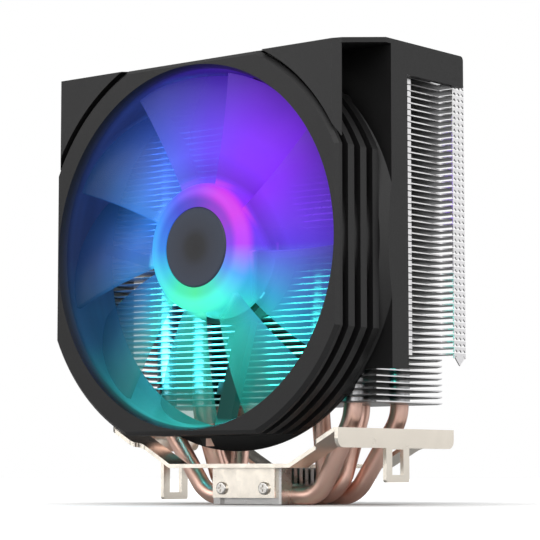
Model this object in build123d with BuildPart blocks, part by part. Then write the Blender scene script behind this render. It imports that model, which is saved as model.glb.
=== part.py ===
"""CPU tower cooler: four heat pipes, a stack of aluminium fins, a hooded 120 mm fan and a
hook-on mounting frame.

The origin is the centre of the base's contact face. +X is to the right, +Y to the back and
+Z up. Air enters at the front, which faces -Y. All sizes are in millimetres.
"""

import os
from math import atan2, degrees, hypot

from build123d import *

os.makedirs("parts", exist_ok=True)

# --- fan; a name ending in _AT is a depth behind the fan's front face ---
FAN_SIZE = 120.0
FAN_DEPTH = 25.0
FAN_FRONT = -46.4  # y of that face
AXIS_HEIGHT = 82.2  # z of the fan's axis
CORNER_RADIUS = 66.1  # arc that trims the fan's four corners
MOUTH_RADIUS = 58.6
MOUTH_END_AT = 3.0
DUCT_RADIUS = 57.6
SLEEVE_RADIUS = 59.2
FLANGE = 2.5
FACE_CHAMFER = 1.2
RIB = 3.1
RIB_PITCH = 6.2
RIB_COUNT = 3
FIRST_RIB_AT = 5.4
STRUT_AT = 21.4
STRUT_REAR_AT = 24.6
STRUT_INNER = (5.1, -23.2)  # centre line of the cable strut, from the motor
STRUT_OUTER = (-4.6, -57.6)  # to the duct wall
STRUT = 3.4
CABLE_STRUT = 6.0
CABLE_CHANNEL = 3.6
MOTOR_RADIUS = 24.2
MOTOR_FRONT_AT = 17.6
MOTOR_WALL = 1.2
MOTOR_FLOOR_AT = 23.4
TUBE_RADIUS = 5.0
TUBE_AT = 8.6
TUBE_SHOULDER = 6.4

# --- rotor ---
CAP_RADIUS = 13.0
CAP_AT = 3.1
HUB_FRONT_AT = 3.3
HUB_PLATE_AT = 4.1
HUB_PLATE = 1.5
HUB_RADIUS = 20.5
HUB_REAR_RADIUS = 22.4
HUB_REAR_AT = 16.9
HUB_SHOULDER = 4.0
BOSS_RADIUS = 3.2
BOSS_REAR_AT = 8.0
BLADE_COUNT = 9
BLADE_TIP = 56.7
BLADE = 1.5
YOKE_RADIUS = 18.6
YOKE_WALL = 0.8
YOKE_REAR_AT = 16.6
MAGNET_WALL = 1.8
SHAFT_RADIUS = 1.5
SHAFT_AT = 4.6
SHAFT_END_AT = 21.6
CLIP_AT = 20.3
CLIP_WALL = 0.5
CLIP_RADIUS = 2.8

# --- motor ---
AIR_GAP = 0.45
POLE_COUNT = 4
POLE = 3.6
STATOR_AT = 9.4
STATOR_STACK = 6.0
CORE_RING = 7.0
SHOE = 1.9
BEARING_CLEARANCE = 0.03
BEARING_RADIUS = 3.4
BEARING_AT = 9.0
BEARING_END_AT = 20.0
BOARD_AT = 18.6
BOARD = 1.0
BOARD_RADIUS = 22.6
LED_COUNT = 8
LED_RADIUS = 21.0

# --- hood over the fan and the fins ---
HOOD_HALF = 62.6
HOOD_TOP = 145.3
HOOD_REAR = 17.4
HOOD_WALL = 1.6
HOOD_SIDE = 2.0
HOOD_GAP = 1.0  # between the fan's trimmed corners and the hood
FLARE_AT = 21.6
BULKHEAD_AT = 24.2
BULKHEAD = 1.2
COLLAR_AT = 20.9  # against the fan's last rib
COLLAR_RADIUS = 60.4
COLLAR_BORE = 59.5
RING_RADIUS = 65.0
HOOD_CHAMFER = 2.0
LEG_REAR = -13.6
LEG_BOTTOM = 42.4
BAND_BOTTOM = 135.0
LIP_HEIGHT = 6.9
LIP_SETBACK = 3.0  # of the top's front edge over the fan
CATCH_TOP = 46.3
FAN_SCREW_CIRCLE = 62.5
FAN_SCREW_SEAT_AT = 23.9
FAN_SCREW_BOSS = 3.2

# --- fins ---
FIN_COUNT = 53
PLAIN_COUNT = 8  # the lowest fins, which have no wings and no tabs
FIN_PITCH = 2.0
FIN = 0.4
FIN_BOTTOM = 32.2
FIN_FRONT = -20.6
FIN_REAR = 21.4
FIN_HALF = 60.0
WAIST_HALF = 55.2
WAIST_FRONT = -8.2
WAIST_REAR = 14.8
FIN_GAP = 0.05  # between a collar and the next fin
TAB_GAP = 0.3

# --- heat pipes: places of their holes in the fins, and route down to the base ---
PIPE_RADIUS = 3.0
PIPE_BORE = 2.4
PIPE_FIT = 0.02
PIPE_HEIGHT = 2.75  # of the centre line in the base, where the pipes are milled flat
PIPE_PITCH = 6.4
OUTER_HOLE = (39.8, 12.5)
INNER_HOLE = (25.4, 10.8)
OUTER_FOOT, OUTER_KNEE, OUTER_BENDS = 24.0, 28.0, (10.0, 14.0)
INNER_FOOT, INNER_KNEE, INNER_BENDS = 22.0, 29.8, (9.0, 14.0)
PIPE_TOP = FIN_BOTTOM + (FIN_COUNT - 1) * FIN_PITCH + 1.4
PIPE_TIP = 4.0

# --- base block and mounting frame ---
BASE_X = 29.0
BASE_Y = 36.0
BASE_HEIGHT = 11.8
FOOT_REBATE = 2.0
SLOT_COUNT = 9
SLOT = 1.2
SLOT_PITCH = 2.9
SLOT_FLOOR = 6.4
SHEET = 1.3
STRIP_FRONT = 27.2
STRIP_BEND = 25.6
ARM_FRONT = 31.2
STEP_X = 38.0  # where the arms get wider, in an S curve
STEP_ROUND = 1.9
END_X = 46.9
RIGHT_END, LEFT_END = 24.2, 25.0  # heights of the arms' ends
RIGHT_LUG, LEFT_LUG = ARM_FRONT, 12.0  # half widths of the lugs bent down from the ends
LUG_BOTTOM = 18.0
CROSSBAR_X = 43.5  # inner edge of the bars that join the arms' ends
TAB_HALF = 13.2
TAB_BOTTOM = 2.1
HOOK_HALF = 6.2
HOOK_BAR = 2.4
WINDOW_HALF = 3.0
RIGHT_HOOK, LEFT_HOOK = 7.1, 1.2  # heights of the hooks' lower edges
SCREW_X = 9.0
SCREW_Z = 5.2


def face_plane(depth):
    """A plane parallel to the fan's face, `depth` behind it. Its sketch axes are +X and +Z."""
    return Plane(origin=(0, FAN_FRONT + depth, AXIS_HEIGHT), x_dir=(1, 0, 0), z_dir=(0, -1, 0))


def trimmed_square(depth, half, radius):
    """A square across the fan's axis, with its corners trimmed by a circle."""
    with BuildSketch(face_plane(depth)) as outline:
        Rectangle(2 * half, 2 * half)
        Circle(radius, mode=Mode.INTERSECT)
    return outline.sketch


def disc(depth, radius, bore=0.0):
    """A circle, or a ring, across the fan's axis."""
    with BuildSketch(face_plane(depth)) as outline:
        Circle(radius)
        if bore:
            Circle(bore, mode=Mode.SUBTRACT)
    return outline.sketch


def turned(*points):
    """A closed profile of (radius, depth) points, turned about the fan's axis."""
    with BuildPart() as piece:
        with BuildSketch(Plane(origin=(0, FAN_FRONT, AXIS_HEIGHT))):
            with BuildLine():
                Polyline(*points, close=True)
            make_face()
        revolve(axis=Axis((0, FAN_FRONT, AXIS_HEIGHT), (0, 1, 0)))
    return piece.part


def tube(radius, bore, front, rear):
    """A plain tube about the fan's axis, between two depths."""
    return turned((bore, front), (radius, front), (radius, rear), (bore, rear))


def pan_screw(head_radius, head, thread_radius, length):
    """A pan-head screw with a cross recess. Its head stands on z = 0 and faces up."""
    with BuildPart() as screw:
        Cylinder(head_radius, head, align=(Align.CENTER, Align.CENTER, Align.MIN))
        fillet(screw.edges().sort_by(Axis.Z)[-1], head * 0.55)
        Cylinder(thread_radius, length, align=(Align.CENTER, Align.CENTER, Align.MAX))
        chamfer(screw.edges().sort_by(Axis.Z)[0], thread_radius * 0.3)
        with BuildSketch(Plane.XY.offset(head)):
            Rectangle(head_radius * 1.15, head_radius * 0.28)
            Rectangle(head_radius * 0.28, head_radius * 1.15)
        extrude(amount=-head * 0.6, mode=Mode.SUBTRACT)
    return screw.part


# ---------------------------------------------------------------- base block and heat pipes
pipe_rows = [-1.5 * PIPE_PITCH, -0.5 * PIPE_PITCH, 0.5 * PIPE_PITCH, 1.5 * PIPE_PITCH]

with BuildPart() as base_block:
    Box(BASE_X, BASE_Y, BASE_HEIGHT, align=(Align.CENTER, Align.CENTER, Align.MIN))
    chamfer(base_block.edges().filter_by(Axis.Z), 0.6)
    with Locations(*[(0, row, PIPE_HEIGHT) for row in pipe_rows]):
        Cylinder(PIPE_RADIUS + PIPE_FIT, BASE_X, rotation=(0, 90, 0), mode=Mode.SUBTRACT)
    with BuildSketch(Plane.YZ.offset(-BASE_X / 2)):
        with GridLocations(SLOT_PITCH, 0, SLOT_COUNT, 1):
            with Locations((0, SLOT_FLOOR + SLOT / 2)):
                Circle(SLOT / 2)
            with Locations((0, SLOT_FLOOR + SLOT / 2)):
                Rectangle(SLOT, BASE_HEIGHT, align=(Align.CENTER, Align.MIN))
    extrude(amount=BASE_X, mode=Mode.SUBTRACT)
    for facing in (-1, 1):
        outward = Align.MIN if facing < 0 else Align.MAX
        with Locations((0, facing * BASE_Y / 2, 0)):
            Box(
                BASE_X - 7,
                1.2,
                FOOT_REBATE,
                align=(Align.CENTER, outward, Align.MIN),
                mode=Mode.SUBTRACT,
            )
        with Locations(Plane(origin=(0, facing * BASE_Y / 2, SCREW_Z), x_dir=(1, 0, 0), z_dir=(0, facing, 0))):
            with GridLocations(2 * SCREW_X, 0, 2, 1):
                Hole(1.27, depth=4.6)
base_block.part.label = "base_block"
export_step(base_block.part, "parts/base_block.step")


def pipe_route(row, hole, foot, knee, bends):
    """Centre line of one U-shaped pipe: down through the fins, across the base and up again."""
    side = 1 if row > 0 else -1
    x, y = hole[0], side * hole[1]
    half = [(foot, row, PIPE_HEIGHT), (x, y, knee), (x, y, PIPE_TOP)]
    mirrored = [(-point[0], point[1], point[2]) for point in reversed(half)]
    with BuildLine() as route:
        FilletPolyline(*mirrored, *half, radius=[bends[1], bends[0], bends[0], bends[1]])
    return route.line


outer_route = (OUTER_HOLE, OUTER_FOOT, OUTER_KNEE, OUTER_BENDS)
inner_route = (INNER_HOLE, INNER_FOOT, INNER_KNEE, INNER_BENDS)
routes = zip(pipe_rows, (outer_route, inner_route, inner_route, outer_route))

for number, (row, shape) in enumerate(routes, start=1):
    route = pipe_route(row, *shape)
    with BuildPart() as heat_pipe:
        with BuildSketch(Plane(origin=route @ 0, z_dir=route % 0)):
            Circle(PIPE_RADIUS)
            Circle(PIPE_BORE, mode=Mode.SUBTRACT)
        sweep(path=route)
        with Locations(route @ 0, route @ 1):
            Cone(PIPE_RADIUS, 0.9, PIPE_TIP, align=(Align.CENTER, Align.CENTER, Align.MIN))
        Box(200, 60, 10, align=(Align.CENTER, Align.CENTER, Align.MAX), mode=Mode.SUBTRACT)
    heat_pipe.part.label = f"heat_pipe_{number}"
    export_step(heat_pipe.part, f"parts/heat_pipe_{number}.step")

# ---------------------------------------------------------------- fins
hole_places = [
    (side * x, row * y) for x, y in (OUTER_HOLE, INNER_HOLE) for side in (-1, 1) for row in (-1, 1)
]
fold = FIN_PITCH - FIN - FIN_GAP
tab_fold = FIN_PITCH - FIN - TAB_GAP


def fin_plate(outline):
    """One fin lying on z = 0, with a collar around each of its pipe holes."""
    with BuildPart() as plate:
        with BuildSketch():
            add(outline)
            with Locations(*[(x, FIN_REAR) for x in (-36, -12, 12, 36)]):
                Triangle(a=5, b=4, c=4, rotation=180, align=(Align.CENTER, Align.MIN), mode=Mode.SUBTRACT)
        extrude(amount=FIN)
        with BuildSketch(Plane.XY.offset(FIN)):
            with Locations(*hole_places):
                Circle(PIPE_RADIUS + 0.35)
        extrude(amount=fold)
        with BuildSketch():
            with Locations(*hole_places):
                Circle(PIPE_RADIUS + PIPE_FIT)
        extrude(amount=FIN_PITCH, mode=Mode.SUBTRACT)
    return plate.part


with BuildSketch() as plain_outline:
    with BuildLine():
        corner = FIN_REAR - WAIST_REAR
        Polyline(
            (0, FIN_FRONT),
            (WAIST_HALF, FIN_FRONT),
            (WAIST_HALF, WAIST_REAR),
            (WAIST_HALF - corner, FIN_REAR),
            (0, FIN_REAR),
        )
        mirror(about=Plane.YZ)
    make_face()

with BuildSketch() as winged_outline:
    with Locations((0, FIN_FRONT)):
        Rectangle(2 * FIN_HALF, FIN_REAR - FIN_FRONT, align=(Align.CENTER, Align.MIN))
    for side in (-1, 1):
        with Locations((side * FIN_HALF, WAIST_FRONT)):
            outward = Align.MIN if side < 0 else Align.MAX
            Rectangle(
                FIN_HALF - WAIST_HALF,
                WAIST_REAR - WAIST_FRONT,
                align=(outward, Align.MIN),
                mode=Mode.SUBTRACT,
            )

plain_fin = fin_plate(plain_outline.sketch)
with BuildPart() as plain_fins:
    with Locations(*[(0, 0, FIN_BOTTOM + index * FIN_PITCH) for index in range(PLAIN_COUNT)]):
        add(plain_fin)
plain_fins.part.label = "plain_fins"
export_step(plain_fins.part, "parts/plain_fins.step")

winged_plate = fin_plate(winged_outline.sketch)
wing = FIN_REAR - WAIST_REAR
wave = wing / 3
with BuildPart() as winged_fin:
    add(winged_plate)
    for start, end in ((FIN_FRONT, WAIST_FRONT), (WAIST_REAR, FIN_REAR)):
        for side in (-1, 1):
            inward = Align.MIN if side < 0 else Align.MAX
            with Locations((side * FIN_HALF, start, FIN)):
                Box(FIN, end - start, tab_fold + FIN, align=(inward, Align.MIN, Align.MAX))
    # the rear tabs' lower edges are cut in waves
    with BuildSketch(Plane.YZ.offset(-2 * FIN_HALF)):
        with Locations(*[(WAIST_REAR + wave * (place + 0.5), -tab_fold) for place in range(3)]):
            Triangle(a=wave - 0.5, b=1.25, c=1.25, align=(Align.CENTER, Align.MIN))
    extrude(amount=4 * FIN_HALF, mode=Mode.SUBTRACT)

with BuildPart() as lowest_winged_fin:
    add(winged_fin.part)
    for side in (-1, 1):
        with BuildSketch(Plane.YZ.offset(side * FIN_HALF)):
            with BuildLine():
                Polyline(
                    (WAIST_REAR + 0.6, -tab_fold + 0.3),
                    (WAIST_REAR + wing / 2, -tab_fold - 2.4),
                    (FIN_REAR - 0.6, -tab_fold + 0.3),
                    (WAIST_REAR + wing / 2, 0.2),
                    close=True,
                )
            make_face()
        extrude(amount=-side * FIN)

with BuildPart() as winged_fins:
    with Locations((0, 0, FIN_BOTTOM + PLAIN_COUNT * FIN_PITCH)):
        add(lowest_winged_fin.part)
    with Locations(*[(0, 0, FIN_BOTTOM + index * FIN_PITCH) for index in range(PLAIN_COUNT + 1, FIN_COUNT)]):
        add(winged_fin.part)
winged_fins.part.label = "winged_fins"
export_step(winged_fins.part, "parts/winged_fins.step")

# ---------------------------------------------------------------- mounting frame and screws
def sheet_section(start, y, slope):
    """The frame's sheet seen from the front, from x = start out to its right end, at depth y."""
    thick = SHEET * hypot(1, slope)
    end = END_X + SHEET
    end_z = BASE_HEIGHT + (end - STRIP_BEND) * slope
    if start < STRIP_BEND:
        low = [(start, BASE_HEIGHT), (STRIP_BEND, BASE_HEIGHT)]
        high = [(start, BASE_HEIGHT + SHEET), (STRIP_BEND - (thick - SHEET) / slope, BASE_HEIGHT + SHEET)]
    else:
        start_z = BASE_HEIGHT + (start - STRIP_BEND) * slope
        low = [(start, start_z)]
        high = [(start, start_z + thick)]
    with BuildSketch(Plane.XZ.offset(-y)) as section:
        with BuildLine():
            Polyline(*low, (end, end_z), (end, end_z + thick), *reversed(high), close=True)
        make_face()
    return section.sketch


def frame_half(end_height, lug_half):
    """The frame's right half: strips, arms, crossbar and lug, and the tabs against the base."""
    slope = (end_height - SHEET - BASE_HEIGHT) / (END_X - STRIP_BEND)
    with BuildPart() as half:
        extrude(sheet_section(0, -BASE_Y / 2, slope), amount=STRIP_FRONT - BASE_Y / 2)
        extrude(sheet_section(STEP_X, -STRIP_FRONT, slope), amount=ARM_FRONT - STRIP_FRONT)
        fillet(half.edges().filter_by(Axis.Z).filter_by_position(Axis.X, STEP_X - 0.1, STEP_X + 0.1), STEP_ROUND)
        extrude(sheet_section(CROSSBAR_X, 0, slope), amount=BASE_Y / 2)
        if lug_half == ARM_FRONT:
            with Locations((END_X, -ARM_FRONT, end_height)):
                Box(20, ARM_FRONT, 20, align=(Align.CENTER, Align.MIN, Align.MIN), mode=Mode.SUBTRACT)
        else:
            fillet(half.edges().filter_by(Axis.Z).group_by(Axis.Y)[0].sort_by(Axis.X)[-1], STEP_ROUND)
        with BuildSketch(Plane.YZ.offset(END_X)):
            with Locations((0, end_height)):
                Rectangle(lug_half, end_height - LUG_BOTTOM, align=(Align.MAX, Align.MAX))
        extrude(amount=SHEET)
        front_corner = half.edges().filter_by(Axis.X).filter_by_position(Axis.Z, LUG_BOTTOM - 0.1, LUG_BOTTOM + 0.1)
        fillet(front_corner.sort_by(Axis.Y)[0], 2.8)
        with Locations((0, -BASE_Y / 2, TAB_BOTTOM)):
            tab_height = BASE_HEIGHT + SHEET - TAB_BOTTOM
            Box(TAB_HALF, SHEET, tab_height, align=(Align.MIN, Align.MAX, Align.MIN))
        with Locations(Plane(origin=(SCREW_X, -BASE_Y / 2 - SHEET, SCREW_Z), z_dir=(0, -1, 0))):
            Hole(1.5, depth=SHEET + 0.5)
        mirror(about=Plane.XZ)
    return half.part


left_half = frame_half(LEFT_END, LEFT_LUG)
with BuildPart() as mounting_frame:
    add(frame_half(RIGHT_END, RIGHT_LUG))
    mirror(left_half, about=Plane.YZ)
    for side, bottom in ((1, RIGHT_HOOK), (-1, LEFT_HOOK)):
        with BuildSketch(Plane.YZ.offset(side * END_X)):
            with Locations((0, bottom)):
                Rectangle(2 * HOOK_HALF, LUG_BOTTOM + 1 - bottom, align=(Align.CENTER, Align.MIN))
            with Locations((0, bottom + HOOK_BAR)):
                window = LUG_BOTTOM - 0.4 - bottom - HOOK_BAR
                Rectangle(2 * WINDOW_HALF, window, align=(Align.CENTER, Align.MIN), mode=Mode.SUBTRACT)
        extrude(amount=side * SHEET)
        low_corners = mounting_frame.edges().filter_by(Axis.X).filter_by_position(Axis.Z, bottom - 0.1, bottom + 0.1)
        fillet(low_corners, 0.8)
mounting_frame.part.label = "mounting_frame"
export_step(mounting_frame.part, "parts/mounting_frame.step")

frame_screw = pan_screw(2.1, 1.0, 1.25, 5.4)
with BuildPart() as frame_screws:
    for facing in (-1, 1):
        seat = facing * (BASE_Y / 2 + SHEET)
        with Locations(Plane(origin=(0, seat, SCREW_Z), x_dir=(1, 0, 0), z_dir=(0, facing, 0))):
            with GridLocations(2 * SCREW_X, 0, 2, 1):
                add(frame_screw)
frame_screws.part.label = "frame_screws"
export_step(frame_screws.part, "parts/frame_screws.step")

# ---------------------------------------------------------------- hood
fan_half = FAN_SIZE / 2
fan_top = AXIS_HEIGHT + fan_half
flare_y = FAN_FRONT + FLARE_AT
bulkhead_y = FAN_FRONT + BULKHEAD_AT


def hood_volume(inset_side, inset_top):
    """The space under the hood's outer faces, moved in by the given amounts, from the legs' ends up."""
    rims = [(FAN_FRONT, fan_half, fan_top), (flare_y, HOOD_HALF, HOOD_TOP), (HOOD_REAR, HOOD_HALF, HOOD_TOP)]
    with BuildPart() as volume:
        for first, second in zip(rims, rims[1:]):
            for y, half, top in (first, second):
                with BuildSketch(Plane(origin=(0, y, LEG_BOTTOM), x_dir=(1, 0, 0), z_dir=(0, -1, 0))):
                    width, height = 2 * (half - inset_side), top - inset_top - LEG_BOTTOM
                    Rectangle(width, height, align=(Align.CENTER, Align.MIN))
            loft()
    return volume.part


hood_outside = hood_volume(0, 0)
hood_inside = hood_volume(HOOD_SIDE, HOOD_WALL)
fan_space = trimmed_square(BULKHEAD_AT, fan_half + 0.15, CORNER_RADIUS + HOOD_GAP)
bulkhead_rear_at = BULKHEAD_AT + BULKHEAD
cone = turned(
    (COLLAR_BORE, COLLAR_AT),
    (COLLAR_RADIUS, COLLAR_AT),
    (RING_RADIUS, BULKHEAD_AT),
    (RING_RADIUS, bulkhead_rear_at),
    (COLLAR_BORE, bulkhead_rear_at),
)

# collar behind the fan's last rib, with four bosses for the fan's screws, cut flush with the hood's outside
with BuildPart() as collar:
    add(cone)
    with BuildSketch(face_plane(bulkhead_rear_at)):
        with PolarLocations(FAN_SCREW_CIRCLE, 4, start_angle=45):
            Circle(FAN_SCREW_BOSS)
        Circle(COLLAR_BORE, mode=Mode.SUBTRACT)
    extrude(amount=bulkhead_rear_at - COLLAR_AT)
    with Locations((0, FAN_FRONT, HOOD_TOP)):
        under_top = (Align.CENTER, Align.CENTER, Align.MAX)
        Box(2 * HOOD_HALF, 4 * BULKHEAD_AT, 4 * HOOD_HALF, align=under_top, mode=Mode.INTERSECT)

with BuildPart() as hood:
    add(hood_outside)
    add(hood_inside, mode=Mode.SUBTRACT)
    # the sides stay as two legs, and as a band under the top
    with BuildSketch(Plane.YZ.offset(-2 * HOOD_HALF)):
        with BuildLine():
            Polyline(
                (FAN_FRONT, LEG_BOTTOM),
                (FAN_FRONT, fan_top - HOOD_WALL),
                (flare_y, HOOD_TOP - HOOD_WALL),
                (bulkhead_y, HOOD_TOP - HOOD_WALL),
                (bulkhead_y, LEG_BOTTOM),
                close=True,
            )
        make_face()
        with Locations((LEG_REAR, LEG_BOTTOM)):
            Rectangle(HOOD_REAR - LEG_REAR, BAND_BOTTOM - LEG_BOTTOM, align=(Align.MIN, Align.MIN))
    extrude(amount=4 * HOOD_HALF, mode=Mode.SUBTRACT)
    # bulkhead behind the fan, square above and round below
    with BuildSketch(face_plane(BULKHEAD_AT + BULKHEAD)):
        Circle(RING_RADIUS)
        with Locations((0, HOOD_TOP - AXIS_HEIGHT)):
            Rectangle(2 * HOOD_HALF, 2 * HOOD_TOP, align=(Align.CENTER, Align.MAX), mode=Mode.INTERSECT)
            Rectangle(2 * HOOD_HALF, HOOD_TOP - LEG_BOTTOM, align=(Align.CENTER, Align.MAX))
        Circle(COLLAR_BORE, mode=Mode.SUBTRACT)
    extrude(amount=BULKHEAD)
    # front corners, flush with the fan's face
    with BuildSketch(face_plane(FLANGE)):
        Rectangle(FAN_SIZE, fan_half, align=(Align.CENTER, Align.MIN))
    extrude(amount=FLANGE)
    extrude(fan_space, amount=BULKHEAD_AT + 1, mode=Mode.SUBTRACT)
    with BuildSketch(Plane.XY.offset(AXIS_HEIGHT)):
        for side in (-1, 1):
            with BuildLine():
                Polyline(
                    (side * (fan_half - HOOD_CHAMFER), FAN_FRONT),
                    (side * (fan_half + HOOD_CHAMFER), FAN_FRONT),
                    (side * (fan_half + HOOD_CHAMFER), FAN_FRONT + 2 * HOOD_CHAMFER),
                    close=True,
                )
            make_face()
    extrude(amount=fan_half + 10, mode=Mode.SUBTRACT)
    add(collar.part)
    with Locations((0, FAN_FRONT, HOOD_TOP)):
        Box(fan_half, LIP_SETBACK, 10, align=(Align.CENTER, Align.MIN, Align.CENTER), mode=Mode.SUBTRACT)
    # lip along the rear edge, and catches under the lowest winged fin
    with Locations((0, HOOD_REAR, HOOD_TOP)):
        Box(2 * HOOD_HALF, HOOD_WALL, LIP_HEIGHT, align=(Align.CENTER, Align.MAX, Align.MAX))
    for side in (-1, 1):
        inward = Align.MIN if side < 0 else Align.MAX
        with Locations((side * HOOD_HALF, LEG_REAR, CATCH_TOP)):
            Box(5.2, 5, 2, align=(inward, Align.MAX, Align.MAX))
    rear_edge = hood.edges().filter_by(Axis.X).group_by(Axis.Y)[-1].sort_by(Axis.Z)[-1]
    fillet(rear_edge, 1.4)
    # slot for the fan's cable
    with BuildSketch(face_plane(bulkhead_rear_at)):
        with Locations((-12, -62)):
            Rectangle(5.4, 2.6)
    extrude(amount=bulkhead_rear_at - COLLAR_AT, mode=Mode.SUBTRACT)
    with Locations(face_plane(COLLAR_AT)):
        with PolarLocations(FAN_SCREW_CIRCLE, 4, start_angle=45):
            Cylinder(1.25, 8, mode=Mode.SUBTRACT)
    with Locations(face_plane(FAN_SCREW_SEAT_AT)):
        with PolarLocations(FAN_SCREW_CIRCLE, 4, start_angle=45):
            Cylinder(2.4, 4, align=(Align.CENTER, Align.CENTER, Align.MAX), mode=Mode.SUBTRACT)
hood.part.label = "hood"
export_step(hood.part, "parts/hood.step")

# ---------------------------------------------------------------- fan frame
strut_run = (STRUT_OUTER[0] - STRUT_INNER[0], STRUT_OUTER[1] - STRUT_INNER[1])
strut_length = hypot(*strut_run)
strut_turn = degrees(atan2(strut_run[1], strut_run[0]))
strut_middle = ((STRUT_OUTER[0] + STRUT_INNER[0]) / 2, (STRUT_OUTER[1] + STRUT_INNER[1]) / 2)
mouth_cone = turned((0, 0), (MOUTH_RADIUS, 0), (DUCT_RADIUS, MOUTH_END_AT), (0, MOUTH_END_AT))

with BuildPart() as fan_frame:
    extrude(trimmed_square(FLANGE, fan_half, CORNER_RADIUS), amount=FLANGE)
    chamfer(fan_frame.faces().sort_by(Axis.Y)[0].edges(), FACE_CHAMFER)
    for rib in range(RIB_COUNT):
        rib_rear = FIRST_RIB_AT + rib * RIB_PITCH + RIB
        extrude(trimmed_square(rib_rear, fan_half, CORNER_RADIUS), amount=RIB)
    extrude(disc(FAN_DEPTH, SLEEVE_RADIUS), amount=FAN_DEPTH - FLANGE / 2)
    extrude(disc(FAN_DEPTH, DUCT_RADIUS), amount=FAN_DEPTH, mode=Mode.SUBTRACT)
    add(mouth_cone, mode=Mode.SUBTRACT)
    # four struts, the first of them a wide channel for the cable with two clips beside it
    with BuildSketch(face_plane(STRUT_REAR_AT)):
        for quarter in range(4):
            width = STRUT if quarter else CABLE_STRUT
            with PolarLocations(0, 1, start_angle=90 * quarter):
                with Locations(strut_middle):
                    Rectangle(strut_length + 1.6, width, rotation=strut_turn)
    extrude(amount=STRUT_REAR_AT - STRUT_AT)
    with BuildSketch(face_plane(STRUT_REAR_AT)):
        with Locations(strut_middle):
            with PolarLocations(0, 1, start_angle=strut_turn):
                with Locations((-10.1, -4.4), (5.7, -4.4)):
                    Rectangle(4, 4.4)
    extrude(amount=1.4)
    with BuildSketch(face_plane(FAN_DEPTH)):
        with Locations(strut_middle):
            Rectangle(strut_length + 8, CABLE_CHANNEL, rotation=strut_turn)
    extrude(amount=2.2, mode=Mode.SUBTRACT)
    # motor cup and bearing tube
    extrude(disc(FAN_DEPTH, MOTOR_RADIUS), amount=FAN_DEPTH - MOTOR_FRONT_AT)
    extrude(disc(MOTOR_FLOOR_AT, MOTOR_RADIUS - MOTOR_WALL), amount=10, mode=Mode.SUBTRACT)
    extrude(disc(MOTOR_FLOOR_AT, TUBE_SHOULDER), amount=MOTOR_FLOOR_AT - BOARD_AT - BOARD)
    extrude(disc(MOTOR_FLOOR_AT, TUBE_RADIUS), amount=MOTOR_FLOOR_AT - TUBE_AT)
    extrude(disc(SHAFT_END_AT + 0.6, BEARING_RADIUS + 0.02), amount=16, mode=Mode.SUBTRACT)
    with Locations(face_plane(COLLAR_AT)):
        with PolarLocations(FAN_SCREW_CIRCLE, 4, start_angle=45):
            Cylinder(1.02, 5.2, mode=Mode.SUBTRACT)
fan_frame.part.label = "fan_frame"
export_step(fan_frame.part, "parts/fan_frame.step")

fan_screw = pan_screw(2.2, 1.2, 1.0, 5.2)
with BuildPart() as fan_screws:
    seat_y = FAN_FRONT + FAN_SCREW_SEAT_AT
    with Locations(Plane(origin=(0, seat_y, AXIS_HEIGHT), x_dir=(1, 0, 0), z_dir=(0, 1, 0))):
        with PolarLocations(FAN_SCREW_CIRCLE, 4, start_angle=45):
            add(fan_screw)
fan_screws.part.label = "fan_screws"
export_step(fan_screws.part, "parts/fan_screws.step")

# ---------------------------------------------------------------- rotor
hub_inner = HUB_RADIUS - HUB_PLATE + 0.1


def blade_section(radius, low, high, front, rear, camber):
    """One section of a blade across its radius, from its leading to its trailing edge."""
    lead, trail = Vector(high, -front), Vector(low, -rear)
    along = (trail - lead).normalized()
    across = Vector(-along.Y, along.X) * (BLADE / 2)
    middle = (lead + trail) / 2 + across.normalized() * camber
    with BuildSketch(Plane(origin=(radius, 0, 0), x_dir=(0, 1, 0), z_dir=(1, 0, 0))) as section:
        with BuildLine():
            top = ThreePointArc(lead + across, middle + across, trail + across)
            bottom = ThreePointArc(trail - across, middle - across, lead - across)
            Line(top @ 1, bottom @ 0)
            Line(bottom @ 1, top @ 0)
        make_face()
    return section.sketch


root = blade_section(16, -6.6, 6.2, 6.2, 15.2, -1.2)
middle = blade_section(37, -11.5, 16.0, 5.6, 17.6, -2.6)
tip = blade_section(60, -11.5, 30.0, 5.0, 19.4, -3.8)
hub_core = turned((0, 0), (HUB_RADIUS - 1, 0), (HUB_REAR_RADIUS - 0.8, FAN_DEPTH), (0, FAN_DEPTH))
tip_space = disc(FAN_DEPTH, BLADE_TIP)

with BuildPart() as blade:
    loft(sections=[root, middle, tip])

with BuildPart() as blades:
    with Locations(face_plane(0)):
        with PolarLocations(0, BLADE_COUNT, start_angle=12):
            add(blade.part)
    extrude(tip_space, amount=FAN_DEPTH, mode=Mode.INTERSECT)
    add(hub_core, mode=Mode.SUBTRACT)

with BuildPart() as impeller:
    with BuildSketch(Plane(origin=(0, FAN_FRONT, AXIS_HEIGHT))) as hub_profile:
        with BuildLine():
            plate_rear = HUB_PLATE_AT + HUB_PLATE
            Polyline(
                (SHAFT_RADIUS, SHAFT_AT),
                (CAP_RADIUS + 0.02, SHAFT_AT),
                (CAP_RADIUS + 0.02, HUB_FRONT_AT),
                (HUB_RADIUS, HUB_FRONT_AT),
                (HUB_REAR_RADIUS, HUB_REAR_AT),
                (HUB_REAR_RADIUS - HUB_PLATE, HUB_REAR_AT),
                (hub_inner, plate_rear),
                (BOSS_RADIUS, plate_rear),
                (BOSS_RADIUS, BOSS_REAR_AT),
                (SHAFT_RADIUS, BOSS_REAR_AT),
                close=True,
            )
        make_face()
        shoulder = hub_profile.vertices().filter_by_position(Axis.X, HUB_RADIUS - 0.1, HUB_RADIUS + 0.1)
        fillet(shoulder, HUB_SHOULDER)
    revolve(axis=Axis((0, FAN_FRONT, AXIS_HEIGHT), (0, 1, 0)))
    add(blades.part)
impeller.part.label = "impeller"
export_step(impeller.part, "parts/impeller.step")

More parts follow.
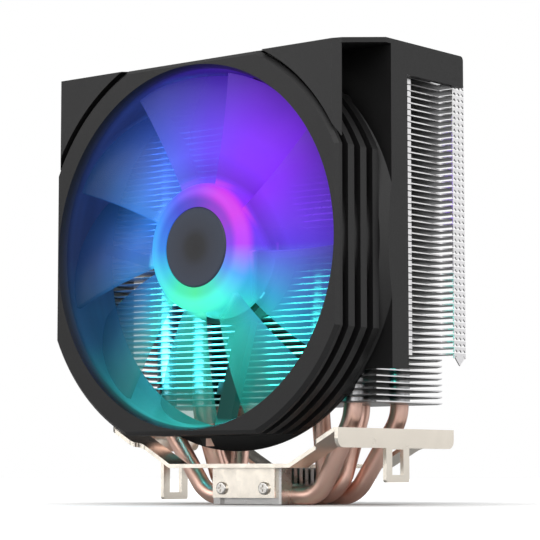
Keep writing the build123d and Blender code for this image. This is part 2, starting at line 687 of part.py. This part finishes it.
hub_cap_profile = [
    (0, CAP_AT),
    (CAP_RADIUS - 0.6, CAP_AT),
    (CAP_RADIUS, CAP_AT + 0.6),
    (CAP_RADIUS, SHAFT_AT),
    (0, SHAFT_AT),
]
cap = turned(*hub_cap_profile)
with BuildPart() as hub_cap:
    add(cap)
hub_cap.part.label = "hub_cap"
export_step(hub_cap.part, "parts/hub_cap.step")

yoke_at = HUB_PLATE_AT + HUB_PLATE
yoke = turned(
    (BOSS_RADIUS + 0.02, yoke_at),
    (YOKE_RADIUS, yoke_at),
    (YOKE_RADIUS, YOKE_REAR_AT),
    (YOKE_RADIUS - YOKE_WALL, YOKE_REAR_AT),
    (YOKE_RADIUS - YOKE_WALL, yoke_at + YOKE_WALL),
    (BOSS_RADIUS + 0.02, yoke_at + YOKE_WALL),
)
with BuildPart() as rotor_yoke:
    add(yoke)
    with Locations(face_plane(yoke_at)):
        with PolarLocations(11, 4):
            Cylinder(1.5, 4, mode=Mode.SUBTRACT)
rotor_yoke.part.label = "rotor_yoke"
export_step(rotor_yoke.part, "parts/rotor_yoke.step")

magnet_outer = YOKE_RADIUS - YOKE_WALL
magnet = tube(magnet_outer, magnet_outer - MAGNET_WALL, yoke_at + 1.8, YOKE_REAR_AT)
with BuildPart() as magnet_ring:
    add(magnet)
magnet_ring.part.label = "magnet_ring"
export_step(magnet_ring.part, "parts/magnet_ring.step")

groove = SHAFT_RADIUS - 0.35
shaft = turned(
    (0, SHAFT_AT),
    (SHAFT_RADIUS, SHAFT_AT),
    (SHAFT_RADIUS, CLIP_AT),
    (groove, CLIP_AT),
    (groove, CLIP_AT + CLIP_WALL),
    (SHAFT_RADIUS, CLIP_AT + CLIP_WALL),
    (SHAFT_RADIUS, SHAFT_END_AT - 0.4),
    (SHAFT_RADIUS - 0.4, SHAFT_END_AT),
    (0, SHAFT_END_AT),
)
with BuildPart() as rotor_shaft:
    add(shaft)
rotor_shaft.part.label = "rotor_shaft"
export_step(rotor_shaft.part, "parts/rotor_shaft.step")

clip = tube(CLIP_RADIUS, groove, CLIP_AT, CLIP_AT + CLIP_WALL)
with BuildPart() as shaft_clip:
    add(clip)
    with Locations(face_plane(CLIP_AT)):
        with Locations((0, -CLIP_RADIUS)):
            Box(0.5, 2 * CLIP_RADIUS, 4, mode=Mode.SUBTRACT)
shaft_clip.part.label = "shaft_clip"
export_step(shaft_clip.part, "parts/shaft_clip.step")

# ---------------------------------------------------------------- motor
bearing = tube(BEARING_RADIUS, SHAFT_RADIUS + BEARING_CLEARANCE, BEARING_AT, BEARING_END_AT)
with BuildPart() as bearing_sleeve:
    add(bearing)
bearing_sleeve.part.label = "bearing_sleeve"
export_step(bearing_sleeve.part, "parts/bearing_sleeve.step")

washer = turned(
    (0, SHAFT_END_AT + 0.1),
    (BEARING_RADIUS - 0.1, SHAFT_END_AT + 0.1),
    (BEARING_RADIUS - 0.1, SHAFT_END_AT + 0.6),
    (0, SHAFT_END_AT + 0.6),
)
with BuildPart() as thrust_washer:
    add(washer)
thrust_washer.part.label = "thrust_washer"
export_step(thrust_washer.part, "parts/thrust_washer.step")

stator_radius = magnet_outer - MAGNET_WALL - AIR_GAP
shoe_bore = stator_radius - SHOE
with BuildPart() as stator_core:
    with BuildSketch(face_plane(STATOR_AT + STATOR_STACK)):
        Circle(stator_radius)
        Circle(shoe_bore, mode=Mode.SUBTRACT)
        with PolarLocations(stator_radius, POLE_COUNT, start_angle=45):
            Rectangle(8, 3, mode=Mode.SUBTRACT)
        Circle(CORE_RING)
        with PolarLocations(shoe_bore / 2, POLE_COUNT):
            Rectangle(shoe_bore + 1, POLE)
        Circle(TUBE_RADIUS + 0.02, mode=Mode.SUBTRACT)
    extrude(amount=STATOR_STACK)
stator_core.part.label = "stator_core"
export_step(stator_core.part, "parts/stator_core.step")

bobbin_start, bobbin_end = CORE_RING + 0.1, shoe_bore - 1.0
bobbin_middle = (bobbin_start + bobbin_end) / 2
bobbin_length = bobbin_end - bobbin_start
bobbin_wall = 0.6
stator_plane = face_plane(STATOR_AT + STATOR_STACK / 2)

with BuildPart() as bobbin:
    Box(bobbin_length, POLE + 2 * bobbin_wall, STATOR_STACK + 2 * bobbin_wall)
    with GridLocations(bobbin_length - 0.5, 0, 2, 1):
        Box(0.5, POLE + 5.4, STATOR_STACK + 3.6)
    Box(bobbin_length, POLE + 0.04, STATOR_STACK + 0.04, mode=Mode.SUBTRACT)

with BuildPart() as winding:
    Box(bobbin_length - 1.1, POLE + 4.8, STATOR_STACK + 3.2)
    fillet(winding.edges().filter_by(Axis.X), 1.2)
    Box(bobbin_length, POLE + 2 * bobbin_wall + 0.04, STATOR_STACK + 2 * bobbin_wall + 0.04, mode=Mode.SUBTRACT)

with BuildPart() as stator_bobbins:
    with Locations(stator_plane):
        with PolarLocations(bobbin_middle, POLE_COUNT):
            add(bobbin.part)
stator_bobbins.part.label = "stator_bobbins"
export_step(stator_bobbins.part, "parts/stator_bobbins.step")

with BuildPart() as stator_windings:
    with Locations(stator_plane):
        with PolarLocations(bobbin_middle, POLE_COUNT):
            add(winding.part)
stator_windings.part.label = "stator_windings"
export_step(stator_windings.part, "parts/stator_windings.step")

board = tube(BOARD_RADIUS, TUBE_RADIUS + 0.1, BOARD_AT, BOARD_AT + BOARD)
with BuildPart() as fan_board:
    add(board)
    with Locations(face_plane(BOARD_AT + BOARD)):
        with Locations((12, 3), (-11, -6)):
            Box(5, 4, 1.1, align=(Align.CENTER, Align.CENTER, Align.MAX))
        with PolarLocations(16, 6, start_angle=20):
            Box(2.2, 1.4, 0.8, align=(Align.CENTER, Align.CENTER, Align.MAX))
fan_board.part.label = "fan_board"
export_step(fan_board.part, "parts/fan_board.step")

with BuildPart() as fan_leds:
    with Locations(face_plane(BOARD_AT)):
        with PolarLocations(LED_RADIUS, LED_COUNT):
            Box(1.8, 2.4, 0.9, align=(Align.CENTER, Align.CENTER, Align.MIN))
fan_leds.part.label = "fan_leds"
export_step(fan_leds.part, "parts/fan_leds.step")
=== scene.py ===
"""Looks, light and camera for the CPU tower cooler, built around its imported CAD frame."""
import math

import bpy
from mathutils import Euler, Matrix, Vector


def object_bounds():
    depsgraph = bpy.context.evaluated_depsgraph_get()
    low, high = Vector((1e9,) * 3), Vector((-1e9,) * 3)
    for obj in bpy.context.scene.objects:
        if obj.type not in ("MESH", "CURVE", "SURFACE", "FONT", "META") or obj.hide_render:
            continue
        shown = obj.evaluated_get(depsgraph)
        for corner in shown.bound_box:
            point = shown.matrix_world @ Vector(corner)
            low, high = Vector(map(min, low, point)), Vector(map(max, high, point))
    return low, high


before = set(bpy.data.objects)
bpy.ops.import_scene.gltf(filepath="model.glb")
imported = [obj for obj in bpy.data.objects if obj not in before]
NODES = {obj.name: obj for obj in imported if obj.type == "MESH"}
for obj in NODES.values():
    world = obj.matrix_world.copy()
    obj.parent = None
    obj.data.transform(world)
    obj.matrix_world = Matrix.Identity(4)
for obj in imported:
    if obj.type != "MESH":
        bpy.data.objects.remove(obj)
cad_box = [list(corner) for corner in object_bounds()]

FAN_AXIS = Vector((0.0, -0.0464, 0.0822))
MM = 0.001

# bands of radius about the fan's axis and of depth behind its face, in metres
CAP_RADIUS = 0.013
HUB_RIM_BAND = (0.0148, 0.0182)
HUB_SIDE_DEPTH = (0.0045, 0.0085)
BLADE_ROOT = (0.0215, 0.0232)
BLADE_FADE_END = 0.06
DUCT_EDGE = 0.0586
DUCT_WALL = (0.0545, 0.0572)
DUCT_MOUTH_DEPTH = (0.0004, 0.006)
FIN_LIGHT_EDGE = (0.054, 0.058)
FIN_LIGHT_DEPTH = (0.026, 0.036)

# strengths of light: painted glow on the struts and fins, the lamps' own glow, and the dim dome
STRUT_LIGHT = 0.12
FIN_LIGHT = 0.22
LAMP_LIGHT = 3.0
DOME_LIGHT = 0.05

# floor
FLOOR_HALF = 4.0
FLOOR_DROP = 0.0002
FLOOR_BOUNCE = (0.5, 0.5, 0.5, 1)
# painted shadow: the floor's camera-seen glow is missing near the object and rises over this band
FLOOR_PAINTED_SHADOW_BAND = (0.04, 0.125)  # distance over which the floor brightens away from the object
FLOOR_FILL = 0.42


# ------------------------------------------------------------------ node helpers
def link(tree, value, socket):
    """Feeds a socket from another node's output, or sets it to a plain value."""
    if isinstance(value, bpy.types.NodeSocket):
        tree.links.new(value, socket)
    else:
        socket.default_value = value


def node(tree, kind, inputs=None, **props):
    """A new shader node with its properties and inputs set; returns the node."""
    new = tree.nodes.new("ShaderNode" + kind)
    for key, value in props.items():
        setattr(new, key, value)
    for key, value in (inputs or {}).items():
        link(tree, value, new.inputs[key])
    return new


def maths(tree, operation, *values, clamp=False):
    """One Math node; returns its output."""
    new = node(tree, "Math", operation=operation, use_clamp=clamp)
    for index, value in enumerate(values):
        link(tree, value, new.inputs[index])
    return new.outputs[0]


def ramp(tree, factor, stops, interpolation="LINEAR"):
    """A colour ramp through (position, colour) stops; returns its colour output."""
    new = node(tree, "ValToRGB", {"Fac": factor})
    band = new.color_ramp
    band.interpolation = interpolation
    while len(band.elements) < len(stops):
        band.elements.new(1.0)
    for element, (position, colour) in zip(band.elements, stops):
        element.position = position
        element.color = (*colour, 1.0) if len(colour) == 3 else colour
    return new.outputs["Color"]


def map_range(tree, value, low, high, to_low=0.0, to_high=1.0, smooth=False):
    """Value moved from one range to another and clamped there."""
    kind = "SMOOTHSTEP" if smooth else "LINEAR"
    inputs = {"Value": value, "From Min": low, "From Max": high, "To Min": to_low, "To Max": to_high}
    return node(tree, "MapRange", inputs, interpolation_type=kind).outputs["Result"]


def mix(tree, factor, first, second, blend="MIX"):
    """Two colours mixed; returns the colour."""
    new = node(tree, "Mix", data_type="RGBA", blend_type=blend)
    link(tree, factor, new.inputs[0])
    link(tree, first, new.inputs[6])
    link(tree, second, new.inputs[7])
    return new.outputs[2]


def srgb(red, green, blue):
    """An 8-bit screen colour as the linear values that shaders use."""
    def linear(value):
        value /= 255
        return value / 12.92 if value <= 0.04045 else ((value + 0.055) / 1.055) ** 2.4
    return (linear(red), linear(green), linear(blue))


def material(name, metallic=0.0, roughness=0.5, **sockets):
    """A new Principled material; returns it with its tree, shader and object coordinates."""
    new = bpy.data.materials.new(name)
    new.use_nodes = True
    tree = new.node_tree
    shader = tree.nodes["Principled BSDF"]
    shader.inputs["Metallic"].default_value = metallic
    shader.inputs["Roughness"].default_value = roughness
    for key, value in sockets.items():
        shader.inputs[key.replace("_", " ")].default_value = value
    coords = node(tree, "TexCoord").outputs["Object"]
    return new, tree, shader, coords


def noise(tree, coords, scale, detail=3.0, stretch=None, roughness=0.5):
    """Noise at a scale in features per metre, stretched by a factor along each axis."""
    if stretch:
        coords = node(tree, "Mapping", {"Vector": coords, "Scale": stretch}).outputs[0]
    inputs = {"Vector": coords, "Scale": scale, "Detail": detail, "Roughness": roughness}
    return node(tree, "TexNoise", inputs).outputs["Fac"]


def bump(tree, shader, height, strength, distance):
    """Adds a bump to a shader."""
    inputs = {"Height": height, "Strength": strength, "Distance": distance}
    link(tree, node(tree, "Bump", inputs).outputs[0], shader.inputs["Normal"])


def polar(tree, coords):
    """Angle round the fan's axis from 0 to 1, radius and depth, the last two in metres."""
    split = node(tree, "SeparateXYZ", {"Vector": coords})
    x = split.outputs["X"]
    z = maths(tree, "SUBTRACT", split.outputs["Z"], FAN_AXIS.z)
    depth = maths(tree, "SUBTRACT", split.outputs["Y"], FAN_AXIS.y)
    squares = maths(tree, "ADD", maths(tree, "MULTIPLY", x, x), maths(tree, "MULTIPLY", z, z))
    radius = maths(tree, "SQRT", squares)
    angle = maths(tree, "ARCTAN2", z, x)
    turn = maths(tree, "FRACT", maths(tree, "ADD", maths(tree, "DIVIDE", angle, math.tau), 1.0))
    return turn, radius, depth


def angular_ramp(tree, turn, colours):
    """Colours evenly spaced round the fan from three o'clock, joined end to start."""
    count = len(colours)
    stops = [(index / count, srgb(*colour)) for index, colour in enumerate(colours)]
    return ramp(tree, turn, stops + [(1.0, srgb(*colours[0]))])


def around(tree, turn, values):
    """Plain values evenly spaced round the fan in the same way."""
    count = len(values)
    return ramp(tree, turn, [(index / count, (values[index % count],) * 3) for index in range(count + 1)])


# ------------------------------------------------------------------ materials
def speckled_plastic(name, colour, roughness):
    """Black moulded plastic with a fine spark-eroded texture and faint uneven sheen."""
    new, tree, shader, coords = material(name, roughness=roughness, Specular_IOR_Level=0.4)
    fine = noise(tree, coords, 2600, 2)
    broad = noise(tree, coords, 60, 3)
    tone = map_range(tree, broad, 0.3, 0.7, 0.9, 1.12)
    grey = node(tree, "CombineColor", {0: tone, 1: tone, 2: tone}).outputs[0]
    base = mix(tree, 1.0, (*colour, 1), grey, "MULTIPLY")
    link(tree, base, shader.inputs["Base Color"])
    gloss = map_range(tree, fine, 0.3, 0.7, roughness - 0.06, roughness + 0.08)
    link(tree, gloss, shader.inputs["Roughness"])
    bump(tree, shader, fine, 0.35, 0.00004)
    return new, tree, shader, coords


def metal(name, colour, roughness, scale=900, stretch=(1, 1, 1), strength=0.25, tint=0.12, distance=0.00003):
    """Metal with a grain drawn out along one axis."""
    new, tree, shader, coords = material(name, metallic=1.0, roughness=roughness)
    grain = noise(tree, coords, scale, 4, stretch, 0.6)
    broad = noise(tree, coords, 45, 3)
    dark = tuple(channel * (1 - tint) for channel in colour)
    base = mix(tree, grain, (*dark, 1), (*colour, 1))
    base = mix(tree, map_range(tree, broad, 0.35, 0.65, 0.0, 0.25), base, (*dark, 1))
    link(tree, base, shader.inputs["Base Color"])
    gloss = map_range(tree, grain, 0.25, 0.75, roughness * 0.75, roughness * 1.3)
    link(tree, gloss, shader.inputs["Roughness"])
    bump(tree, shader, grain, strength, distance)
    return new, tree, shader, coords


# colours of the rotor's light, painted as glow on the blades, hub, duct wall and fins, every 30 degrees
# round the fan from three o'clock, seen from the front
GLOW = [
    (100, 65, 230), (125, 40, 245), (128, 48, 252), (100, 62, 240), (75, 110, 245), (58, 138, 240),
    (50, 118, 220), (58, 150, 205), (70, 205, 195), (52, 205, 180), (55, 210, 200), (62, 165, 225),
]
HUB_INNER = [
    (120, 60, 225), (140, 50, 200), (130, 50, 195), (90, 55, 190), (60, 70, 200), (45, 100, 215),
    (45, 130, 225), (50, 190, 220), (60, 225, 170), (70, 225, 150), (65, 215, 190), (80, 140, 230),
]
HUB_RIM = [
    (175, 60, 245), (200, 50, 225), (195, 50, 225), (140, 66, 235), (80, 95, 240), (60, 140, 245),
    (65, 170, 245), (70, 215, 235), (75, 250, 205), (80, 252, 205), (75, 250, 225), (80, 170, 245),
]
DUCT_GLOW = [
    (40, 20, 90), (50, 15, 110), (52, 18, 110), (45, 20, 130), (30, 45, 105), (28, 44, 92),
    (26, 43, 84), (22, 66, 100), (28, 128, 126), (40, 178, 165), (44, 190, 170), (40, 60, 110),
]
# at the same angles: how much of what is behind a blade it hides, and how fast its painted glow fades
# outwards
COVER = [0.8, 0.95, 0.97, 0.9, 0.74, 0.6, 0.55, 0.46, 0.4, 0.36, 0.42, 0.62]
FADE = [0.2, 0.0, 0.0, 0.15, 0.6, 1.0, 1.0, 1.0, 0.7, 0.5, 0.5, 0.4]


def fin_metal(name, colour, roughness):
    """Aluminium fin stock: bright cut edges and tabs, flat faces darkened with painted shade for the gaps
    between fins.
    """
    new, tree, shader, coords = metal(name, colour, roughness, 700, (1, 0.15, 1), 0.15)
    bright = shader.inputs["Base Color"].links[0].from_socket
    normal = node(tree, "SeparateXYZ", {"Vector": node(tree, "NewGeometry").outputs["Normal"]}).outputs["Z"]
    # painted shade: faces that point up or down are mixed towards near black, standing for the shade between
    # fins
    painted_gap_shade = map_range(tree, maths(tree, "ABSOLUTE", normal), 0.5, 0.9, smooth=True)
    link(tree, mix(tree, painted_gap_shade, bright, (0.09, 0.09, 0.095, 1)), shader.inputs["Base Color"])
    turn, radius, depth = polar(tree, coords)
    # painted glow: the rotor's coloured light on the fins' front edges just behind the fan
    near = maths(tree, "MULTIPLY", map_range(tree, radius, *FIN_LIGHT_EDGE, 1.0, 0.0),
                 map_range(tree, depth, *FIN_LIGHT_DEPTH, FIN_LIGHT, 0.0))
    link(tree, angular_ramp(tree, turn, GLOW), shader.inputs["Emission Color"])
    link(tree, near, shader.inputs["Emission Strength"])
    return new


def glow_plastic(name):
    """Milky plastic of the rotor, with the light of the ring of lamps behind its hub painted in as glow."""
    new, tree, shader, coords = material(name, roughness=0.38, Specular_IOR_Level=0.2)
    turn, radius, depth = polar(tree, coords)
    outer = map_range(tree, radius, *BLADE_ROOT)
    wall = maths(tree, "MAXIMUM", outer, map_range(tree, depth, *HUB_SIDE_DEPTH, smooth=True))
    rim = map_range(tree, radius, *HUB_RIM_BAND, smooth=True)
    hub = mix(tree, rim, angular_ramp(tree, turn, HUB_INNER), angular_ramp(tree, turn, HUB_RIM))
    colour = mix(tree, wall, hub, angular_ramp(tree, turn, GLOW))
    reach = map_range(tree, radius, 0.0, BLADE_FADE_END)
    # painted glow: brightness falls outwards from the hub, with darker rings, faster on some sides
    slow = ramp(tree, reach, [
        (0.0, (0.95,) * 3), (0.36, (1.0,) * 3), (0.41, (0.68,) * 3), (0.52, (1.0,) * 3),
        (0.66, (0.9,) * 3), (0.80, (0.65,) * 3), (0.95, (0.36,) * 3),
    ])
    fast = ramp(tree, reach, [
        (0.0, (0.95,) * 3), (0.36, (1.0,) * 3), (0.41, (0.8,) * 3), (0.52, (0.8,) * 3),
        (0.66, (0.42,) * 3), (0.80, (0.2,) * 3), (0.95, (0.1,) * 3),
    ])
    fade = mix(tree, around(tree, turn, FADE), slow, fast)
    lit = mix(tree, 1.0, colour, fade, "MULTIPLY")
    cloud = noise(tree, coords, 70, 3)
    lit = mix(tree, map_range(tree, cloud, 0.3, 0.7, 0.0, 0.16), lit, (1, 1, 1, 1), "SOFT_LIGHT")
    link(tree, lit, shader.inputs["Emission Color"])
    shader.inputs["Emission Strength"].default_value = 1.0
    # the base colour carries a tenth of the painted glow too
    link(tree, mix(tree, 0.9, lit, (0.01, 0.01, 0.02, 1)), shader.inputs["Base Color"])
    link(tree, mix(tree, outer, (1, 1, 1, 1), around(tree, turn, COVER)), shader.inputs["Alpha"])
    bump(tree, shader, noise(tree, coords, 1800, 2), 0.08, 0.00003)
    return new


def cap_plastic():
    """The hub cap's smoked plastic, with a faint painted glow of the lamps behind it, none over the shaft.
    """
    new, tree, shader, coords = speckled_plastic("cap_grey", (0.004, 0.004, 0.006), 0.42)
    turn, radius, depth = polar(tree, coords)
    # painted glow, dimmest at the centre over the shaft
    painted_glow_through = ramp(tree, map_range(tree, radius, 0.0, CAP_RADIUS), [
        (0.0, (0.006, 0.006, 0.006)), (0.28, (0.009, 0.010, 0.012)), (0.5, (0.020, 0.025, 0.040)),
        (0.85, (0.024, 0.033, 0.055)), (1.0, (0.02, 0.03, 0.055)),
    ])
    link(tree, painted_glow_through, shader.inputs["Emission Color"])
    shader.inputs["Emission Strength"].default_value = 1.0
    return new


def lit_frame_plastic():
    """The fan frame's black plastic, with the rotor's light painted as glow on the duct wall and struts."""
    new, tree, shader, coords = speckled_plastic("fan_frame_black", (0.006, 0.0057, 0.006), 0.45)
    turn, radius, depth = polar(tree, coords)
    # painted glow: full on the duct wall, dim on the struts inside it, fading in from the mouth
    inside = maths(tree, "MULTIPLY", maths(tree, "LESS_THAN", radius, DUCT_EDGE),
                   map_range(tree, radius, *DUCT_WALL, STRUT_LIGHT, 1.0))
    deep = map_range(tree, depth, *DUCT_MOUTH_DEPTH, smooth=True)
    glow = angular_ramp(tree, turn, DUCT_GLOW)
    streaks = noise(tree, coords, 40, 2, (0.2, 4, 0.2))
    uneven = map_range(tree, streaks, 0.3, 0.7, 0.75, 1.1)
    strength = maths(tree, "MULTIPLY", maths(tree, "MULTIPLY", inside, deep), uneven)
    link(tree, glow, shader.inputs["Emission Color"])
    link(tree, strength, shader.inputs["Emission Strength"])
    return new


def lamp_plastic():
    """The small lamps on the fan's board."""
    new, tree, shader, coords = material("lamp", roughness=0.3)
    turn, radius, depth = polar(tree, coords)
    link(tree, angular_ramp(tree, turn, HUB_RIM), shader.inputs["Emission Color"])
    shader.inputs["Emission Strength"].default_value = LAMP_LIGHT
    body = mix(tree, noise(tree, coords, 900), (0.8, 0.8, 0.7, 1), (0.9, 0.9, 0.85, 1))
    link(tree, body, shader.inputs["Base Color"])
    return new


hood_black = speckled_plastic("hood_black", (0.007, 0.0068, 0.007), 0.44)[0]
frame_black = lit_frame_plastic()
cap_grey = cap_plastic()
rotor_glow = glow_plastic("rotor_glow")
winged_metal = fin_metal("fin_aluminium", (0.93, 0.92, 0.93), 0.34)
plain_metal = fin_metal("plain_fin_aluminium", (0.9, 0.9, 0.91), 0.32)
copper = metal("copper", (1.0, 0.66, 0.55), 0.36, 500, (3, 3, 0.3), 0.03, 0.05, 0.00001)[0]
block_metal = metal("milled_aluminium", (0.58, 0.57, 0.56), 0.3, 1400, (0.1, 1, 1), 0.3)[0]
plated_steel = metal("nickel_plate", (0.90, 0.83, 0.73), 0.22, 260, (1, 1, 1), 0.1, 0.05)[0]
plated_screw = metal("screw_plate", (0.82, 0.79, 0.75), 0.24, 900)[0]
black_screw = metal("black_oxide", (0.05, 0.05, 0.05), 0.4, 900)[0]
turned_steel = metal("turned_steel", (0.6, 0.6, 0.61), 0.3, 1200, (1, 6, 1))[0]
core_steel = metal("laminated_steel", (0.4, 0.41, 0.43), 0.42, 1500, (0.1, 8, 0.1), 0.6)[0]
ferrite = speckled_plastic("ferrite", (0.05, 0.05, 0.053), 0.6)[0]
bronze = metal("bearing_bronze", (0.62, 0.42, 0.24), 0.4, 1600)[0]
nylon = speckled_plastic("nylon", (0.75, 0.75, 0.7), 0.45)[0]
bobbin_plastic = speckled_plastic("bobbin", (0.7, 0.68, 0.6), 0.45)[0]
enamel_wire = metal("enamelled_wire", (0.72, 0.36, 0.16), 0.3, 2200, (1, 8, 1), 0.8)[0]
board_green = speckled_plastic("solder_mask", (0.01, 0.09, 0.045), 0.25)[0]
lamp = lamp_plastic()

FINISHES = {
    "base_block": block_metal,
    "heat_pipe_1": copper,
    "heat_pipe_2": copper,
    "heat_pipe_3": copper,
    "heat_pipe_4": copper,
    "plain_fins": plain_metal,
    "winged_fins": winged_metal,
    "mounting_frame": plated_steel,
    "frame_screws": plated_screw,
    "hood": hood_black,
    "fan_frame": frame_black,
    "fan_screws": black_screw,
    "impeller": rotor_glow,
    "hub_cap": cap_grey,
    "rotor_yoke": turned_steel,
    "magnet_ring": ferrite,
    "rotor_shaft": turned_steel,
    "shaft_clip": turned_steel,
    "bearing_sleeve": bronze,
    "thrust_washer": nylon,
    "stator_core": core_steel,
    "stator_bobbins": bobbin_plastic,
    "stator_windings": enamel_wire,
    "fan_board": board_green,
    "fan_leds": lamp,
}
for name, finish in FINISHES.items():
    mesh = NODES[name].data
    mesh.materials.clear()
    mesh.materials.append(finish)


# ------------------------------------------------------------------ stage, light and camera
def floor_plane():
    """A wide pale floor just under the lowest point, with a painted shadow round the object."""
    low = cad_box[0][2] - FLOOR_DROP
    corners = [(x * FLOOR_HALF, y * FLOOR_HALF, low) for x, y in ((-1, -1), (1, -1), (1, 1), (-1, 1))]
    mesh = bpy.data.meshes.new("floor")
    mesh.from_pydata(corners, [], [(0, 1, 2, 3)])
    floor = bpy.data.objects.new("floor", mesh)
    bpy.context.scene.collection.objects.link(floor)
    new, tree, shader, coords = material("floor_white", roughness=0.8, Specular_IOR_Level=0.0)
    tone = noise(tree, coords, 3, 2)
    seen = mix(tree, tone, (0.88, 0.88, 0.88, 1), (0.92, 0.92, 0.92, 1))
    is_seen = node(tree, "LightPath").outputs["Is Camera Ray"]
    link(tree, mix(tree, is_seen, FLOOR_BOUNCE, seen), shader.inputs["Base Color"])
    shader.inputs["Emission Color"].default_value = (1, 1, 1, 1)
    # painted shadow: the camera-seen glow of the floor is missing near the object and rises further out
    away = node(tree, "VectorMath", {0: coords}, operation="LENGTH").outputs["Value"]
    fill = map_range(tree, away, *FLOOR_PAINTED_SHADOW_BAND, 0.0, FLOOR_FILL, smooth=True)
    link(tree, maths(tree, "MULTIPLY", is_seen, fill), shader.inputs["Emission Strength"])
    mesh.materials.append(new)


def area_light(name, place, target, size, power, colour=(1, 1, 1)):
    """A soft rectangular light aimed at a point."""
    data = bpy.data.lights.new(name, "AREA")
    data.shape = "RECTANGLE"
    data.size, data.size_y = size
    data.energy = power
    data.color = colour
    light = bpy.data.objects.new(name, data)
    light.location = place
    light.rotation_euler = (Vector(target) - Vector(place)).to_track_quat("-Z", "Y").to_euler()
    bpy.context.scene.collection.objects.link(light)


def rotor_light(name, x, z, colour, power):
    """Coloured light that the rotor throws back on the fins; it isn't seen itself."""
    place = FAN_AXIS + Vector((x, 21.0, z)) * MM
    area_light(name, place, place + Vector((0, 1, 0)), (0.036, 0.036), power, srgb(*colour))
    bpy.data.objects[name].visible_camera = False


# direction to a softbox, its radiance, and the angles in degrees where it fades from full to none
SOFTBOXES = [
    ((-0.48, -0.74, 0.50), 2.30, 8, 34),
    ((0.66, 0.72, 0.22), 0.95, 14, 36),
    ((0.10, -0.10, 1.00), 0.90, 32, 62),
    ((-0.90, 0.30, 0.50), 0.35, 8, 30),
    ((0.70, -0.70, 0.10), 1.75, 30, 66),
    ((-0.655, -0.755, 0.00), 2.00, 1.5, 7),
]


def studio_world():
    """White behind the object; for its light, a dim grey dome with a few wide softboxes."""
    world = bpy.data.worlds.new("studio")
    bpy.context.scene.world = world
    world.use_nodes = True
    tree = world.node_tree
    direction = node(tree, "TexCoord").outputs["Generated"]
    light = DOME_LIGHT
    for aim, radiance, full, none in SOFTBOXES:
        aim = Vector(aim).normalized()
        dot = node(tree, "VectorMath", {0: direction, 1: aim}, operation="DOT_PRODUCT").outputs["Value"]
        low, high = math.cos(math.radians(none)), math.cos(math.radians(full))
        light = maths(tree, "ADD", light, map_range(tree, dot, low, high, 0.0, radiance, smooth=True))
    is_seen = node(tree, "LightPath").outputs["Is Camera Ray"]
    background = tree.nodes["Background"]
    link(tree, mix(tree, is_seen, light, (1, 1, 1, 1)), background.inputs["Color"])
    background.inputs["Strength"].default_value = 1.0


floor_plane()
rotor_light("glow_top_right", 26, 26, (125, 40, 250), 0.05)
rotor_light("glow_top_left", -26, 26, (60, 120, 250), 0.05)
rotor_light("glow_bottom_left", -26, -26, (60, 190, 210), 0.06)
rotor_light("glow_bottom_right", 26, -26, (60, 230, 210), 0.06)
studio_world()

CAMERA_PLACE = Vector((0.46096, -0.56384, 0.00931))
CAMERA_YAW = math.radians(39.55)
CAMERA_PITCH = math.radians(5.384)
camera_data = bpy.data.cameras.new("camera")
camera_data.sensor_width = 36
camera_data.lens = 145.41
camera_data.clip_start = 0.01
camera = bpy.data.objects.new("camera", camera_data)
camera.location = CAMERA_PLACE
camera.rotation_euler = Euler((math.pi / 2 + CAMERA_PITCH, 0, CAMERA_YAW), "XYZ")
bpy.context.scene.collection.objects.link(camera)
bpy.context.scene.camera = camera
bpy.context.scene.view_settings.view_transform = "Standard"
